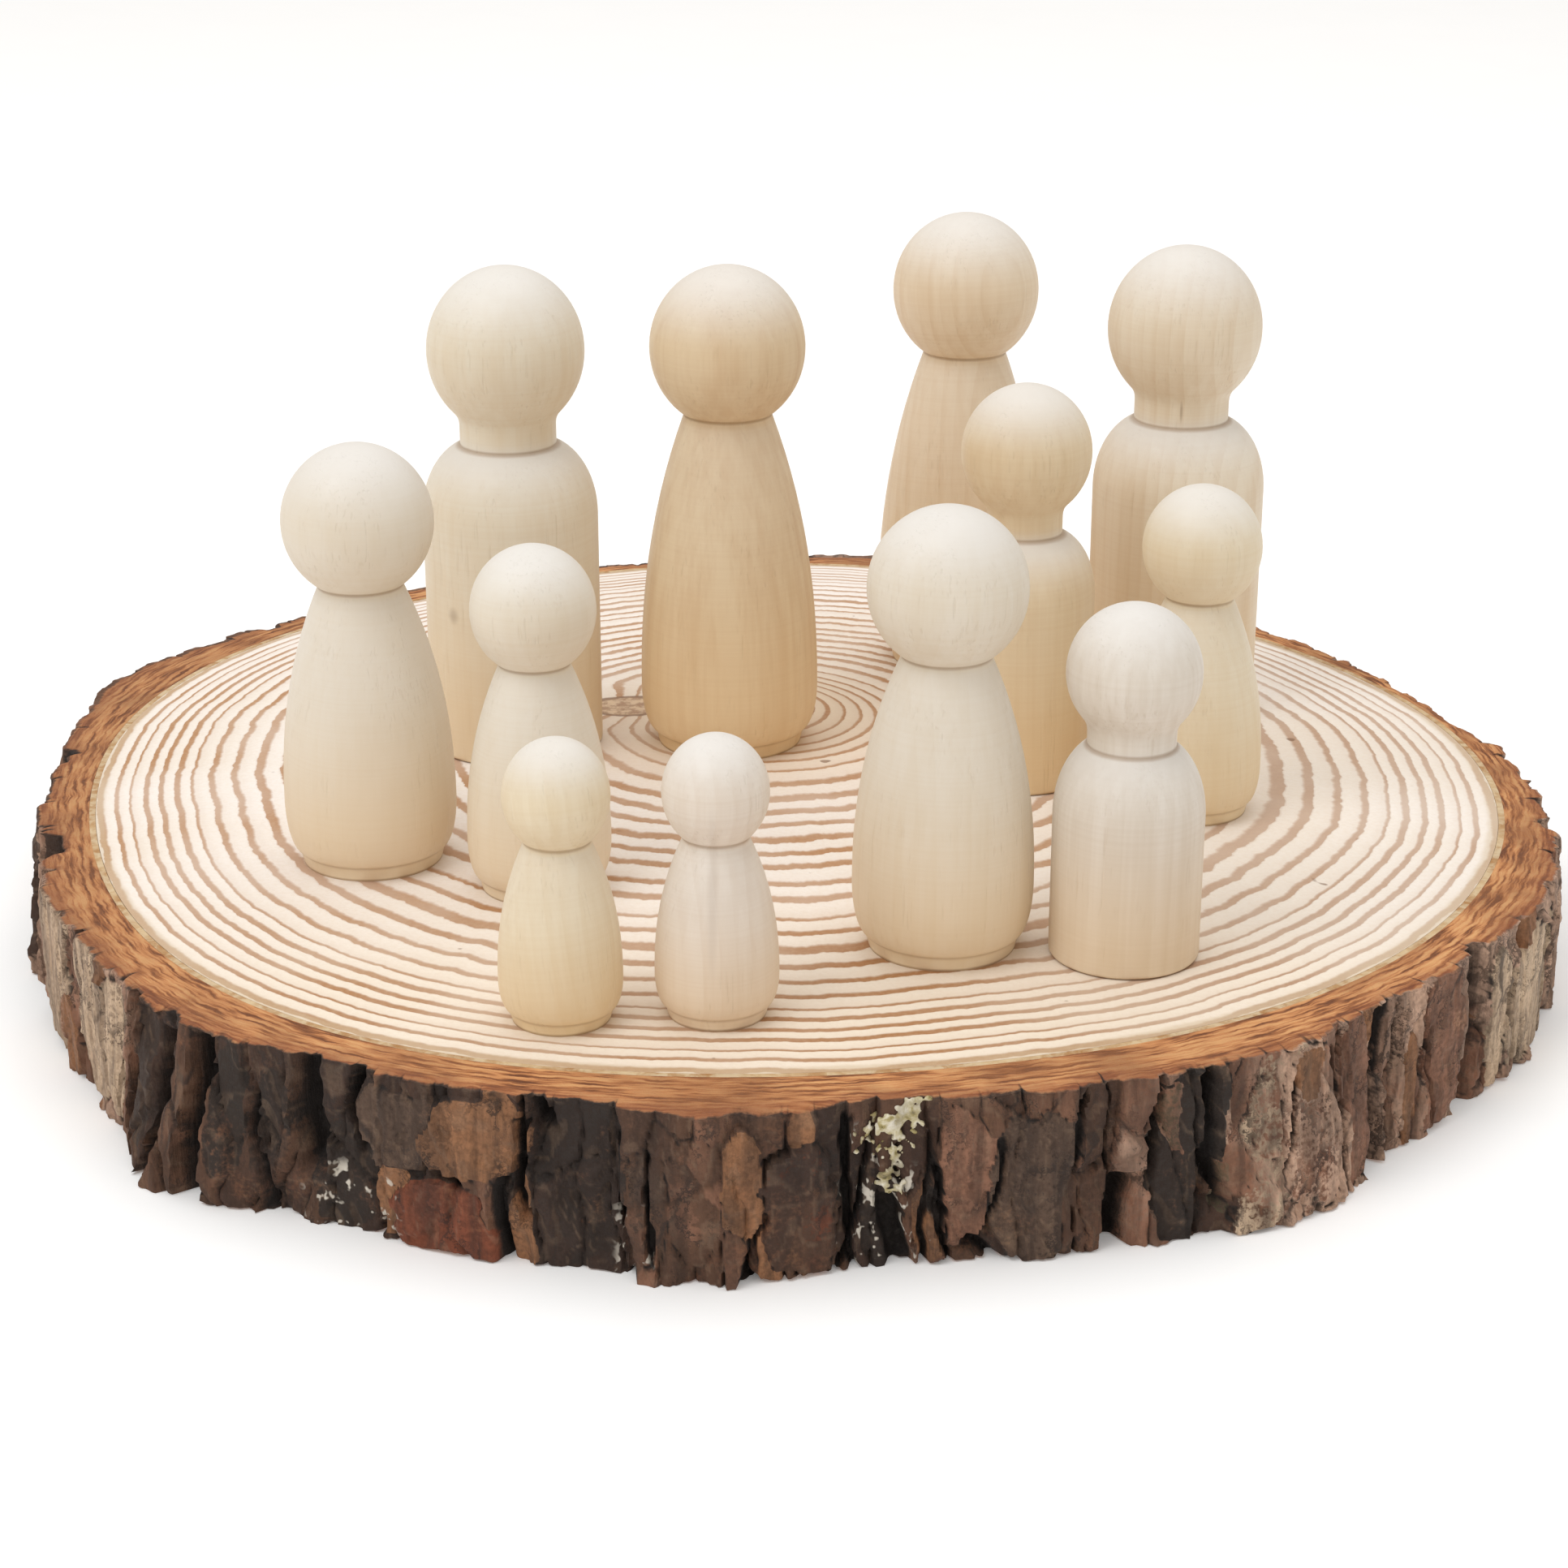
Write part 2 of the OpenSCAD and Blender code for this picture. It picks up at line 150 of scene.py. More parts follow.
def paint(code):
    """A colour written as six hex digits, as the linear red, green, blue and alpha that nodes take."""
    parts = [int(code[i : i + 2], 16) / 255 for i in (0, 2, 4)]
    return tuple(p / 12.92 if p <= 0.04045 else ((p + 0.055) / 1.055) ** 2.4 for p in parts) + (1.0,)


def colour_setting(name, description, code):
    """A colour that starts from six hex digits."""
    return FloatVectorProperty(
        name=name, description=description, default=paint(code), size=4, min=0, max=1, subtype="COLOR"
    )


def length_setting(name, description, start, low, high):
    """A length, with its default and limits in mm."""
    return FloatProperty(
        name=name, description=description, default=start * MM, min=low * MM, max=high * MM, unit="LENGTH"
    )


def place_setting(name, description, default):
    """A place on the slice or in the room, in metres."""
    return FloatVectorProperty(
        name=name, description=description, default=default, size=len(default), unit="LENGTH"
    )


class PEG_PG_wood(bpy.types.PropertyGroup):
    """Sizes and finish of the turned pegs."""

    segments: IntProperty(
        name="Segments", description="Steps round each turned peg", default=108, min=24, max=252
    )
    ring_pitch: length_setting("Ring pitch", "Width of one year's growth in the pegs' wood", 1.9, 0.5, 8)
    roughness: FloatProperty(
        name="Roughness", description="How matte the wood is", default=0.52, min=0, max=1, subtype="FACTOR"
    )
    pore: colour_setting("Pore colour", "Colour of the short dark pores", "A98A5E")
    # painted highlight: the colour laid on upward-facing faces, whitest on the knob's top
    painted_top_highlight: colour_setting("Knob top", "Whiter end grain on top of the knobs", "E4E1DD")
    # painted warm light reflected up from the slice, laid low on the body
    foot: colour_setting("Foot", "Yellower colour low on the body", "F4D39C")
    # painted shade in the turned grooves, with a burnished line, and painted contact shadow at the foot's
    # edge
    shaded_crease: colour_setting("Crease", "Colour burnished into the turned grooves", "94714A")


class PEG_PG_slice(bpy.types.PropertyGroup):
    """Sizes and colours of the sawn slice."""

    ring_count: FloatProperty(
        name="Rings", description="Growth rings from the heart to the bark", default=30, min=5, max=80
    )
    heart: place_setting("Heart", "Where the rings start, on the slice's top", (-5.5 * MM, 29 * MM))
    knot: place_setting("Knot", "Middle of the knot", (-22.9 * MM, 27.4 * MM))
    early: colour_setting("Early wood", "Pale wood between the rings", "F7F0EA")
    late: colour_setting("Late wood", "Brown line of each ring", "B38154")
    warm: colour_setting("Warm wood", "Tan tone near the heart", "DFC49C")
    cambium: colour_setting("Inner bark", "Thin layer between wood and bark", "CDB795")


class PEG_PG_bark(bpy.types.PropertyGroup):
    """Sizes and colours of the bark."""

    plates: IntProperty(name="Plates", description="Bark plates round the slice", default=62, min=12, max=160)
    fissure: length_setting("Fissure depth", "Usual depth of the gaps between plates", 1.9, 0, 5)
    flake_step: length_setting("Flake step", "Thickness of one layer of flaking bark", 0.42, 0, 2)
    brown: colour_setting("Grey brown", "Weathered plates", "452E22")
    pink: colour_setting("Pinkish brown", "Freshly flaked plates", "8E644E")
    tan: colour_setting("Tan", "Thin pale flakes", "986A48")
    brick: colour_setting("Brick red", "Bare red layer", "7E4229")
    cut: colour_setting("Sawn bark", "Orange sawn edge of the bark", "C98A57")


class PEG_PG_stage(bpy.types.PropertyGroup):
    """Light, floor and camera."""

    fill: FloatProperty(name="Fill", description="Light from all round", default=0.86, min=0, max=5)
    key: FloatProperty(
        name="Key light", description="Power of the large soft light", default=4, min=0, max=500, unit="POWER"
    )
    lens: FloatProperty(
        name="Lens", description="Focal length of the camera", default=73.79, min=10, max=300, unit="CAMERA"
    )
    tilt: FloatProperty(
        name="Tilt",
        description="How far the camera leans up from looking straight down",
        default=math.radians(69),
        subtype="ANGLE",
    )
    camera: place_setting("Camera place", "Where the camera stands", (-0.0007, -0.4009, 0.1726))


def settings(group):
    """One of the scene's groups of settings."""
    return getattr(bpy.context.scene, "peg_set_" + group)


# ---- shader helpers


class Nodes:
    """Adds nodes to one shader tree. An input that is a socket is joined, one that is six hex digits is a
    colour, and any other is set."""

    def __init__(self, tree):
        self.tree = tree

    def link(self, value, socket):
        self.tree.links.new(value, socket)

    def fill_in(self, made, values):
        for key, value in values.items():
            if isinstance(value, bpy.types.NodeSocket):
                self.link(value, made.inputs[key])
            else:
                made.inputs[key].default_value = paint(value) if isinstance(value, str) else value

    def add(self, kind, values=None, **options):
        made = self.tree.nodes.new("ShaderNode" + kind)
        for name, value in options.items():
            setattr(made, name, value)
        self.fill_in(made, values or {})
        return made

    def group(self, name, values):
        made = self.tree.nodes.new("ShaderNodeGroup")
        made.node_tree = bpy.data.node_groups[name]
        self.fill_in(made, values)
        return made.outputs

    def calc(self, operation, a, b=0.0, clamp=False):
        return self.add("Math", {0: a, 1: b}, operation=operation, use_clamp=clamp).outputs[0]

    def times(self, a, b):
        return self.calc("MULTIPLY", a, b)

    def plus(self, a, b, clamp=False):
        return self.calc("ADD", a, b, clamp)

    def minus(self, a, b):
        return self.calc("SUBTRACT", a, b)

    def vector(self, operation, a, b=(0, 0, 0)):
        return self.add("VectorMath", {0: a, 1: b}, operation=operation).outputs[0]

    def stretch(self, vector, scale):
        return self.vector("MULTIPLY", vector, scale)

    def length(self, vector):
        return self.add("VectorMath", {0: vector}, operation="LENGTH").outputs["Value"]

    def join(self, **parts):
        """A vector from its x, y and z."""
        return self.add("CombineXYZ", {name.upper(): value for name, value in parts.items()}).outputs[0]

    def parts_of(self, vector):
        return self.add("SeparateXYZ", {0: vector}).outputs

    def noise(self, vector, scale, detail=2.0, rough=0.5, spread=0.0):
        values = {"Vector": vector, "Scale": scale, "Detail": detail}
        values.update({"Roughness": rough, "Distortion": spread})
        return self.add("TexNoise", values).outputs["Fac"]

    def span(self, value, low, high, out_low=0.0, out_high=1.0):
        """Eases a value from low..high to out_low..out_high."""
        values = {"Value": value, "From Min": low, "From Max": high, "To Min": out_low, "To Max": out_high}
        return self.add("MapRange", values, interpolation_type="SMOOTHSTEP").outputs[0]

    def blend(self, factor, a, b):
        return self.add("Mix", {0: factor, 6: a, 7: b}, data_type="RGBA").outputs[2]

    def tint(self, colour, where, strength, shade):
        """Lays a shade over a colour where a mask is, as strongly as given."""
        return self.blend(self.times(where, strength), colour, shade)

    def ramp(self, factor, stops):
        """A colour ramp through (place, colour) stops."""
        made = self.add("ValToRGB", {0: factor})
        line = made.color_ramp.elements
        while len(line) < len(stops):
            line.new(0.5)
        for element, (place, colour) in zip(line, stops):
            element.position = place
            element.color = paint(colour) if isinstance(colour, str) else colour
        return made.outputs[0]

    def here(self):
        return self.add("TexCoord").outputs["Object"]

    def mask(self, name):
        return self.add("Attribute", attribute_name=name).outputs["Fac"]

    def finish(self, colour, roughness, height, depth):
        """Joins colour, roughness and height to the material's shader."""
        bump = self.add("Bump", {"Strength": 1.0, "Distance": depth, "Height": height})
        values = {"Base Color": colour, "Roughness": roughness, "Normal": bump.outputs[0]}
        shader = self.add("BsdfPrincipled", values)
        self.add("OutputMaterial", {0: shader.outputs[0]})
        return shader


def new_material(name):
    """An empty material, and the nodes to fill it."""
    made = bpy.data.materials.new(name)
    made.use_nodes = True
    made.node_tree.nodes.clear()
    return made, Nodes(made.node_tree)


def new_group(name, inputs, outputs):
    """An empty shader node group: its nodes, what it is given and what it puts out."""
    tree = bpy.data.node_groups.new(name, "ShaderNodeTree")
    for label, kind, value in inputs:
        socket = tree.interface.new_socket(label, in_out="INPUT", socket_type="NodeSocket" + kind)
        if value is not None:
            socket.default_value = value
    for label in outputs:
        tree.interface.new_socket(label, in_out="OUTPUT", socket_type="NodeSocketFloat")
    given, out = tree.nodes.new("NodeGroupInput"), tree.nodes.new("NodeGroupOutput")
    return Nodes(tree), given.outputs, out.inputs


def make_turned_grain():
    """Rings, streaks, pores and lathe marks of wood turned from a stick whose heart is the Z axis."""
    n, given, out = new_group(
        "turned_grain",
        [("Vector", "Vector", None), ("Pitch", "Float", 2.4 * MM), ("Seed", "Float", 0.0)],
        ["Rings", "Streaks", "Pores", "Turning", "Blotches"],
    )
    shifted = n.vector("ADD", given["Vector"], given["Seed"])
    x, y, z = n.parts_of(given["Vector"])
    away = n.calc("SQRT", n.plus(n.times(x, x), n.times(y, y)))
    sway = n.noise(n.stretch(shifted, (1, 1, 0.15)), 70, 1)
    away = n.plus(away, n.times(sway, 3.2 * MM))
    year = n.calc("DIVIDE", away, given["Pitch"])
    within = n.calc("FRACT", year)
    late = n.times(n.span(within, 0.25, 0.9), n.span(within, 0.99, 0.92))
    weight = n.noise(n.join(x=n.calc("FLOOR", year), y=given["Seed"]), 3.7, 0)
    n.link(n.times(late, n.span(weight, 0.3, 0.7, 0.25, 1.0)), out["Rings"])
    fine = n.noise(n.stretch(shifted, (1, 1, 0.02)), 900, 3, 0.6)
    broad = n.noise(n.stretch(shifted, (1, 1, 0.05)), 260, 2, 0.5)
    streaks = n.plus(n.times(fine, 0.5), n.times(broad, 0.5))
    n.link(n.span(streaks, 0.38, 0.66), out["Streaks"])
    dashes = n.noise(n.stretch(shifted, (1, 1, 0.07)), 3000, 1, 0.5)
    clumps = n.noise(n.stretch(shifted, (1, 1, 0.3)), 260, 1, 0.5)
    dashes = n.times(n.span(dashes, 0.58, 0.74), n.span(clumps, 0.4, 0.62))
    n.link(dashes, out["Pores"])
    n.link(n.noise(n.join(x=given["Seed"], z=z), 1900, 2, 0.6), out["Turning"])
    n.link(n.noise(shifted, 55, 3, 0.6), out["Blotches"])


def make_fibre_relief():
    """Height and mottling of fibres that run up the piece, for bark and sawn edges."""
    n, given, out = new_group(
        "fibre_relief",
        [("Vector", "Vector", None), ("Scale", "Float", 500.0), ("Squash", "Vector", (1, 1, 0.2))],
        ["Fibres", "Grit", "Mottle"],
    )
    spot, scale = given["Vector"], given["Scale"]
    n.link(n.noise(n.stretch(spot, given["Squash"]), scale, 5, 0.62, 0.4), out["Fibres"])
    n.link(n.noise(spot, n.times(scale, 4.0), 3, 0.6), out["Grit"])
    n.link(n.noise(spot, n.times(scale, 0.3), 4, 0.6), out["Mottle"])


# ---- mesh helpers


def new_object(name, data):
    made = bpy.data.objects.new(name, data)
    bpy.context.scene.collection.objects.link(made)
    return made


def new_mesh(name, shape, material):
    """Turns a bmesh into a mesh object with its material."""
    mesh = bpy.data.meshes.new(name)
    shape.to_mesh(mesh)
    shape.free()
    mesh.materials.append(material)
    return new_object(name, mesh)


def new_piece(name, shape, body, material, replaced=()):
    """Turns a bmesh into a finished piece that rides on its body."""
    bmesh.ops.remove_doubles(shape, verts=shape.verts, dist=2e-6)
    bmesh.ops.recalc_face_normals(shape, faces=shape.faces)
    made = new_mesh(name, shape, material)
    made.data.shade_smooth()
    made.data.set_sharp_from_angle(angle=math.radians(38))
    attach(made, body)
    if replaced:
        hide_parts(*replaced)
    return made


def line_of(shape, points):
    """A line of joined points, to be spun into a turned shape."""
    verts = [shape.verts.new(p) for p in points]
    for a, b in zip(verts, verts[1:]):
        shape.edges.new((a, b))


def spin_full(shape, steps, centre=(0, 0, 0), wedges=12):
    """Spins everything in the bmesh through one wedge about an upright axis, and repeats the wedge all round.
    One long spin of this many steps takes minutes. The wedges' edges merge when the piece is finished."""
    line = shape.verts[:] + shape.edges[:]
    wedge_turn = TURN / wedges
    bmesh.ops.spin(shape, geom=line, cent=centre, axis=(0, 0, 1), angle=wedge_turn, steps=steps // wedges)
    wedge = shape.verts[:] + shape.edges[:] + shape.faces[:]
    for k in range(1, wedges):
        copied = bmesh.ops.duplicate(shape, geom=wedge)["geom"]
        moved = [part for part in copied if isinstance(part, bmesh.types.BMVert)]
        bmesh.ops.rotate(shape, cent=centre, matrix=Matrix.Rotation(wedge_turn * k, 3, "Z"), verts=moved)


def corners(node):
    """A CAD node's corner points, as an array."""
    return np.array([v.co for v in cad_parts[node].data.vertices], float)


def rim(node, furthest):
    """A CAD node's outer or inner radius in each direction, as directions in turns and radii, sorted."""
    points = corners(node)
    turn = np.arctan2(points[:, 1], points[:, 0]) / TURN % 1.0
    away = np.hypot(points[:, 0], points[:, 1])
    best = {}
    for t, r in zip(np.round(turn * RIM_STEPS).astype(int) % RIM_STEPS, away):
        best[t] = (max if furthest else min)(best.get(t, r), r)
    keys = sorted(best)
    return np.array(keys) / RIM_STEPS, np.array([best[k] for k in keys])


def read_rim(known, turn):
    return np.interp(turn % 1.0, known[0], known[1], period=1.0)


def off_from(turn, direction):
    """Degrees from a direction, from -180 to 180."""
    return (turn * 360 - direction + 180) % 360 - 180


def ease(value, low, high):
    t = np.clip((value - low) / (high - low), 0, 1)
    return t * t * (3 - 2 * t)


def swells(turn, up, count, rise, seed):
    """Smooth seeded noise from -1 to 1: count swells round the slice, each one rise tall."""
    rows = int(30 / rise) + 6
    grid = np.random.default_rng(seed).uniform(-1, 1, (rows, count))
    x, y = turn * count, up / rise + 2
    i, j = np.floor(x).astype(int), np.floor(y).astype(int)
    fx, fy = ease(x - i, 0, 1), ease(y - j, 0, 1)
    i0, i1 = i % count, (i + 1) % count
    j0, j1 = np.clip(j, 0, rows - 1), np.clip(j + 1, 0, rows - 1)
    low = grid[j0, i0] * (1 - fx) + grid[j0, i1] * fx
    high = grid[j1, i0] * (1 - fx) + grid[j1, i1] * fx
    return low * (1 - fy) + high * fy


def cells(turn, up, count, rise, seed):
    """Irregular plates round the slice. Gives the gap to the nearest edge, in plate widths, two random
    numbers for each plate, and how far across its plate a point lies."""
    rows = int(30 / rise) + 8
    draw = np.random.default_rng(seed)
    place = draw.uniform(0.08, 0.92, (rows, count, 2))
    number = draw.random((rows, count, 2))
    x, y = turn * count, up / rise + 3
    i, j = np.floor(x).astype(int), np.floor(y).astype(int)
    first = np.full(x.shape, 9.0)
    second = np.full(x.shape, 9.0)
    one, two, across = np.zeros(x.shape), np.zeros(x.shape), np.zeros(x.shape)
    for di in (-2, -1, 0, 1, 2):
        for dj in (-1, 0, 1):
            ci, cj = i + di, np.clip(j + dj, 0, rows - 1)
            spot = place[cj, ci % count]
            gap = np.hypot(ci + spot[..., 0] - x, cj + spot[..., 1] - y)
            closer = gap < first
            second = np.where(closer, first, np.minimum(second, gap))
            one = np.where(closer, number[cj, ci % count, 0], one)
            two = np.where(closer, number[cj, ci % count, 1], two)
            across = np.where(closer, x - ci - spot[..., 0], across)
            first = np.where(closer, gap, first)
    return second - first, one, two, across


def store(mesh, name, values):
    mesh.attributes.new(name, "FLOAT", "POINT").data.foreach_set("value", np.asarray(values, np.float32))


def vertex_array(mesh):
    flat = np.zeros(len(mesh.vertices) * 3)
    mesh.vertices.foreach_get("co", flat)
    return flat.reshape(-1, 3)


def place_vertices(mesh, points):
    mesh.vertices.foreach_set("co", points.astype(np.float32).ravel())
    mesh.update()


# ---- pegs


def peg_material(name, centre, look, number, low, high, radius, shaded_creases):
    """Pale sanded wood cut from one stick, with its own heart, lean and strength of grain."""
    pale, grain, direction, distance, lean, rings, streaks = look
    own = settings("wood")
    made, n = new_material("peg_wood_" + name)
    way = math.radians(direction)
    heart = (
        centre[0] + distance * MM * math.cos(way),
        centre[1] + distance * MM * math.sin(way),
        centre[2],
    )
    tilt = (math.radians(lean) * math.sin(way), -math.radians(lean) * math.cos(way), 0)
    turned = {"Vector": n.here(), "Location": heart, "Rotation": tilt}
    stick = n.add("Mapping", turned, vector_type="TEXTURE").outputs[0]
    wood = n.group("turned_grain", {"Vector": stick, "Pitch": own.ring_pitch, "Seed": number * 0.37})
    ring_part = n.times(wood["Rings"], rings)
    streak_part = n.times(wood["Streaks"], streaks)
    tone = n.plus(n.times(ring_part, 0.5), n.times(streak_part, 0.7), True)
    colour = n.blend(tone, pale, grain)
    warmth = n.span(wood["Blotches"], 0.35, 0.7, 0.0, 0.22)
    colour = n.blend(warmth, colour, grain)
    colour = n.blend(n.span(wood["Turning"], 0.35, 0.7, 0.0, 0.12), colour, grain)
    colour = n.tint(colour, wood["Pores"], 0.06 + 0.15 * streaks, own.pore)

    # painted highlight: whiter on the knob's top and other upward faces; painted warm light reflected from
    # the slice: yellower wood low on the body
    height_up = n.parts_of(n.here())[2]
    upward = n.mask("upward")
    # painted highlight on the upward faces
    colour = n.blend(n.span(upward, 0.05, 0.95, 0.0, 0.8), colour, own.painted_top_highlight)
    # painted warm light reflected from the slice, strongest at the foot
    foot = n.span(height_up, low + 0.5 * (high - low), low, 0.0, 0.36)
    colour = n.blend(foot, colour, own.foot)
    # painted crease shade with a burnished line, and painted contact shadow at the foot's edge
    for shaded_crease, strength in shaded_creases:
        gap = n.calc("ABSOLUTE", n.minus(height_up, shaded_crease))
        line = n.span(gap, 0.4 * MM, 0.05 * MM, 0.0, strength)
        colour = n.blend(line, colour, own.shaded_crease)
    if name in PEG_MARKS:
        direction, level, wide, tall, strength = PEG_MARKS[name]
        way = math.radians(direction)
        spot = (centre[0] + radius * math.cos(way), centre[1] + radius * math.sin(way), low + level * MM)
        off = n.vector("SUBTRACT", n.here(), spot)
        turned = n.add("VectorRotate", {"Vector": off, "Angle": -way}, rotation_type="Z_AXIS").outputs[0]
        apart = n.length(n.stretch(turned, (1 / radius, 1 / (wide * MM), 1 / (tall * MM))))
        apart = n.plus(apart, n.times(wood["Blotches"], 0.6))
        colour = n.blend(n.span(apart, 1.5, 0.5, 0.0, strength), colour, "7A5B3E")
    rough = n.span(wood["Streaks"], 0.0, 1.0, own.roughness - 0.04, own.roughness + 0.08)
    height = n.minus(n.times(wood["Turning"], 0.5), wood["Pores"])
    height = n.plus(height, n.times(wood["Streaks"], 0.4))
    n.finish(colour, rough, height, 0.03 * MM)
    return made


def peg_side(node):
    """The heights and radii of a peg's side, from the bottom to the top of its knob."""
    points = corners(node)
    low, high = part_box(node)
    centre = (low + high) / 2
    levels = {}
    for x, y, z in points:
        key = round(z / (0.02 * MM))
        away = math.hypot(x - centre.x, y - centre.y)
        if key not in levels or away > levels[key][1]:
            levels[key] = (z, away)
    side = [levels[k] for k in sorted(levels)]
    side[-1] = (high.z, 0.0)
    return centre, [(low.z, 0.0)] + side


def peg_shaded_creases(side):
    """The heights of the painted contact shadow at the foot's edge and of the painted crease shade, with a
    burnished line, at the inside corners up a peg's side, with how dark each line is.
    """
    # painted contact shadow along the foot's edge, where the peg stands on the slice
    found = [(side[0][0], 0.65)]
    for (z0, r0), (z1, r1), (z2, r2) in zip(side[1:], side[2:], side[3:]):
        bend = math.atan2(r2 - r1, z2 - z1) - math.atan2(r1 - r0, z1 - z0)
        if bend > math.radians(25) and z1 > side[0][0] + 0.8 * MM:
            low_down = z1 < side[0][0] + 5 * MM
            found.append((z1, 0.3 if low_down else 0.5))
    return found


class PEG_OT_turn(bpy.types.Operator):
    """Turns each peg from its own stick of pale wood"""

    bl_idname = "peg_set.turn_pegs"
    bl_label = "Turn the pegs"

    def execute(self, context):
        steps = settings("wood").segments
        for number, (node, look) in enumerate(PEG_STICKS.items()):
            centre, side = peg_side(node)
            low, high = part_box(node)
            radius = max(away for z, away in side if z < low.z + BODY_PART * (high.z - low.z))
            shaded_creases = peg_shaded_creases(side)
            shape = bmesh.new()
            line_of(shape, [(centre.x + away, centre.y, z) for z, away in side])
            spin_full(shape, steps, (centre.x, centre.y, 0))
            middle = (centre.x, centre.y, centre.z)
            material = peg_material(node, middle, look, number, low.z, high.z, radius, shaded_creases)
            made = new_piece("turned_" + node, shape, node, material, [node])
            # the upward-facing share at each point, which places the painted highlight
            store(made.data, "upward", np.array([v.normal.z for v in made.data.vertices]))
        return {"FINISHED"}


# ---- slice


def slice_wood_material():
    """Sawn pine: pale early wood, brown late wood with a sharp outer edge, and a knot."""
    own = settings("slice")
    made, n = new_material("slice_pine")
    spot = n.here()
    part = n.mask("ring")
    way = n.vector("NORMALIZE", n.vector("SUBTRACT", spot, (*own.heart, 0)))
    gap = n.length(n.stretch(n.vector("SUBTRACT", spot, (*own.knot, 0)), (1, 1.35, 0)))
    swirl = n.noise(spot, 260, 3, 0.6)
    gap = n.plus(gap, n.times(n.minus(swirl, 0.5), 2.2 * MM))

    # growth rings, with wobble that follows the direction from the heart
    slow = n.noise(n.stretch(way, (5, 5, 0)), 1.0, 2)
    quick = n.vector("ADD", n.stretch(way, (17, 17, 0)), n.stretch(spot, (30, 30, 0)))
    quick = n.noise(quick, 1.0, 3, 0.6)
    tiny = n.noise(n.stretch(spot, (1, 1, 0.1)), 900, 3, 0.6)
    year = n.times(part, own.ring_count - 6.0)
    for extra in (
        n.span(part, 0.0, 0.25, 0.0, 3.2),
        n.span(part, 0.8, 1.03, 0.0, 3.6),
        n.times(n.noise(n.join(x=part), 7.0, 1), 1.2),
        n.times(n.times(slow, part), 0.9),
        n.times(n.times(quick, n.span(part, 0.05, 0.5, 0.2, 1.0)), 0.5),
        n.times(tiny, 0.1),
        n.times(n.span(gap, 15 * MM, 3 * MM), 1.3),
    ):
        year = n.plus(year, extra)
    within = n.calc("FRACT", year)
    weight = n.noise(n.join(x=n.calc("FLOOR", year)), 5.3, 0)
    local = n.noise(spot, 60, 2)
    start = n.plus(n.span(weight, 0.3, 0.7, 0.42, 0.66), n.times(local, 0.12))
    late = n.span(n.minus(within, start), -0.06, 0.14)
    late = n.times(late, n.span(within, 0.985, 0.93))
    strength = n.span(n.noise(spot, 45, 3), 0.3, 0.7, 0.66, 1.0)
    late = n.times(late, strength)
    late = n.calc("MAXIMUM", late, n.times(n.span(within, 0.1, 0.9), 0.16))

    # broad changes of tone: towards the front, the right, the heart and the rim
    x, y = n.parts_of(spot)[:2]
    fine = n.noise(spot, 1500, 3, 0.6)
    patch = n.noise(spot, 24, 3, 0.55)
    drift = n.times(patch, 20 * MM)
    pale = n.blend(n.span(patch, 0.35, 0.7), own.early, "F0E6DA")
    front = n.span(n.plus(y, drift), -20 * MM, -70 * MM)
    pale = n.tint(pale, front, 0.6, "F0E0C8")
    near = n.span(n.plus(part, n.times(patch, 0.25)), 0.5, 0.2)
    pale = n.tint(pale, near, 0.6, own.warm)
    right = n.span(n.plus(x, drift), 20 * MM, 70 * MM)
    brown = n.tint(own.late, right, 0.75, "C2A48E")
    brown = n.tint(brown, front, 0.5, "A06C3E")
    colour = n.blend(late, pale, brown)
    colour = n.blend(n.span(fine, 0.35, 0.75, 0.0, 0.18), colour, "DCC6A8")
    rim_tone = n.span(n.plus(part, n.times(swirl, 0.008)), 0.988, 0.996)
    colour = n.tint(colour, rim_tone, 0.45, own.cambium)

    # the knot, and a few dark specks of resin
    mottle = n.noise(spot, 700, 3, 0.6)
    knot_colour = n.blend(n.span(mottle, 0.38, 0.62), "B08E72", "DDC3A4")
    colour = n.blend(n.span(gap, 5.4 * MM, 4.8 * MM), colour, knot_colour)
    edge = n.times(n.span(gap, 6.2 * MM, 5.6 * MM), n.span(gap, 4.4 * MM, 5.2 * MM))
    colour = n.tint(colour, edge, 0.85, "8A674A")
    dot = (own.knot[0] + 4.6 * MM, own.knot[1] + 0.6 * MM, 0)
    dot_gap = n.length(n.stretch(n.vector("SUBTRACT", spot, dot), (1, 1, 0)))
    colour = n.blend(n.span(dot_gap, 1.1 * MM, 0.6 * MM), colour, "3F2614")
    speck = n.span(n.noise(spot, 330, 1, 0.4), 0.79, 0.83)
    colour = n.tint(colour, speck, 0.7, "7C5433")

    rough = n.span(late, 0.0, 1.0, 0.66, 0.55)
    height = n.plus(n.times(late, 0.5), n.times(fine, 0.5))
    n.finish(colour, rough, height, 0.06 * MM)
    return made


def inner_bark_material():
    """The thin tan layer between wood and bark."""
    own = settings("slice")
    made, n = new_material("slice_cambium")
    spot = n.here()
    relief = n.group("fibre_relief", {"Vector": spot, "Scale": 500.0, "Squash": (1, 1, 0.15)})
    colour = n.blend(n.span(relief["Fibres"], 0.35, 0.65), own.cambium, "A97B49")
    colour = n.blend(n.span(relief["Mottle"], 0.4, 0.7, 0.0, 0.6), colour, "D9C096")
    rough = n.span(relief["Grit"], 0.3, 0.7, 0.7, 0.85)
    n.finish(colour, rough, relief["Fibres"], 0.12 * MM)
    return made


